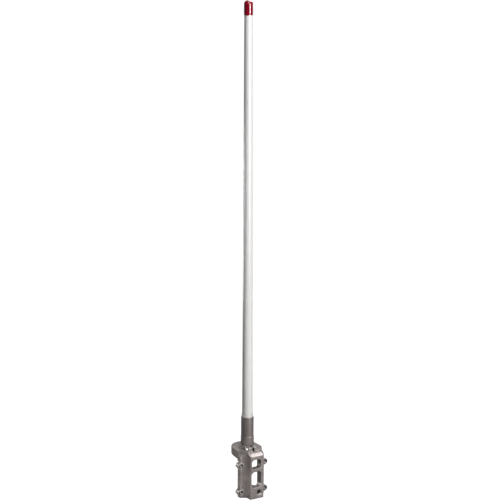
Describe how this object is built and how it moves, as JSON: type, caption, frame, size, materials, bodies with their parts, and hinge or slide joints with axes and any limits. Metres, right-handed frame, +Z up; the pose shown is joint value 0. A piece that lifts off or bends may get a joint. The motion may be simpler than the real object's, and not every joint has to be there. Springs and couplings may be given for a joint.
{
  "type": "omnidirectional antenna",
  "caption": "Base-station omnidirectional antenna: white fibreglass radome with red end cap, metal collar and a cast mast-clamp bracket.",
  "frame": {"origin": "on the mast clamp's axis, at the bracket's bottom face", "axes": "+Z up along the radome, -Y out of the bracket's windowed front, X across the clamp ears"},
  "size_m": [0.0784, 0.0863, 1.143],
  "materials": {
    "cast_aluminium": "warm grey stove-enamelled sand casting, satin, slightly pitted",
    "collar_metal": "dark warm grey coated turned tube, satin",
    "radome_fibreglass": "white polyurethane-painted glass-fibre tube",
    "red_cap": "glossy red moulded cap",
    "sealant": "off-white sealant fillet",
    "stainless": "stainless socket screws and washers",
    "dark_zinc": "dull dark zinc-plated socket screws and washers",
    "black_oxide": "blackened alloy steel grub screw",
    "turned_aluminium": "bright turned bar",
    "nickel_brass": "nickel-plated brass",
    "brass_line": "drawn brass tube",
    "copper_wire": "enamelled or bare copper",
    "black_rubber": "nitrile rubber",
    "white_polymer": "natural fluoropolymer or polyethylene",
    "circuit_board": "green glass-epoxy board",
    "ceramic_disc": "dipped ceramic disc"
  },
  "bodies": {
    "bracket": {"mount_bracket": "cast_aluminium", "clamp_washers": "dark_zinc", "pinch_washer": "stainless"},
    "jaw": {"rear_jaw": "cast_aluminium"},
    "pinch": {"pinch_screw": "stainless"},
    "grub": {"grub_screw": "black_oxide"},
    "screw_upper_left": {"clamp_screw_upper_left": "dark_zinc"},
    "screw_upper_right": {"clamp_screw_upper_right": "dark_zinc"},
    "screw_lower_left": {"clamp_screw_lower_left": "dark_zinc"},
    "screw_lower_right": {"clamp_screw_lower_right": "dark_zinc"},
    "antenna": {"radome_collar": "collar_metal", "sealant_bead": "sealant", "radome_tube": "radome_fibreglass", "tip_cap": "red_cap", "cap_gasket": "black_rubber", "end_plug": "black_rubber", "base_plug": "turned_aluminium", "plug_o_rings": "black_rubber", "plug_screws": "stainless", "connector_body": "nickel_brass", "connector_insulator": "white_polymer", "connector_contact": "brass_line", "connector_gasket": "black_rubber", "connector_locknut": "nickel_brass", "matching_board": "circuit_board", "board_capacitor": "ceramic_disc", "matching_coil": "copper_wire", "feed_line": "copper_wire", "feed_core": "copper_wire", "choke_sleeve": "brass_line", "lower_radiator": "brass_line", "lower_phasing_coil": "copper_wire", "middle_radiator": "brass_line", "upper_phasing_coil": "copper_wire", "upper_radiator": "brass_line", "coil_formers": "white_polymer", "centring_spacers": "white_polymer"}
  },
  "joints": [
    {"name": "jaw_slide", "type": "slide", "parent": "bracket", "child": "jaw", "axis": [0, 1, 0], "range_m": [-0.001, 0.004]},
    {"name": "screw_upper_left_turn", "type": "hinge", "parent": "bracket", "child": "screw_upper_left", "pos_m": [-0.0317, -0.012, 0.0785], "axis": [0, -1, 0], "range_deg": [-361, 1441]},
    {"name": "screw_upper_right_turn", "type": "hinge", "parent": "bracket", "child": "screw_upper_right", "pos_m": [0.0317, -0.012, 0.0785], "axis": [0, -1, 0], "range_deg": [-361, 1441]},
    {"name": "screw_lower_left_turn", "type": "hinge", "parent": "bracket", "child": "screw_lower_left", "pos_m": [-0.0317, -0.012, 0.014], "axis": [0, -1, 0], "range_deg": [-361, 1441]},
    {"name": "screw_lower_right_turn", "type": "hinge", "parent": "bracket", "child": "screw_lower_right", "pos_m": [0.0317, -0.012, 0.014], "axis": [0, -1, 0], "range_deg": [-361, 1441]},
    {"name": "pinch_screw_turn", "type": "hinge", "parent": "bracket", "child": "pinch", "pos_m": [0, -0.0154, 0.1161], "axis": [-1, 0, 0], "range_deg": [-90, 720]},
    {"name": "grub_screw_turn", "type": "hinge", "parent": "bracket", "child": "grub", "pos_m": [0.0052, -0.028, 0.0152], "axis": [0, -1, 0], "range_deg": [-360, 1080]},
    {"name": "antenna_slide", "type": "slide", "parent": "bracket", "child": "antenna", "axis": [0, 0, 1], "range_m": [0, 0.025]}
  ],
  "couplings": [
    {"joint": "screw_upper_left_turn", "follows": "jaw_slide", "rad_per_m": 6283.2},
    {"joint": "screw_upper_right_turn", "follows": "jaw_slide", "rad_per_m": 6283.2},
    {"joint": "screw_lower_left_turn", "follows": "jaw_slide", "rad_per_m": 6283.2},
    {"joint": "screw_lower_right_turn", "follows": "jaw_slide", "rad_per_m": 6283.2}
  ]
}
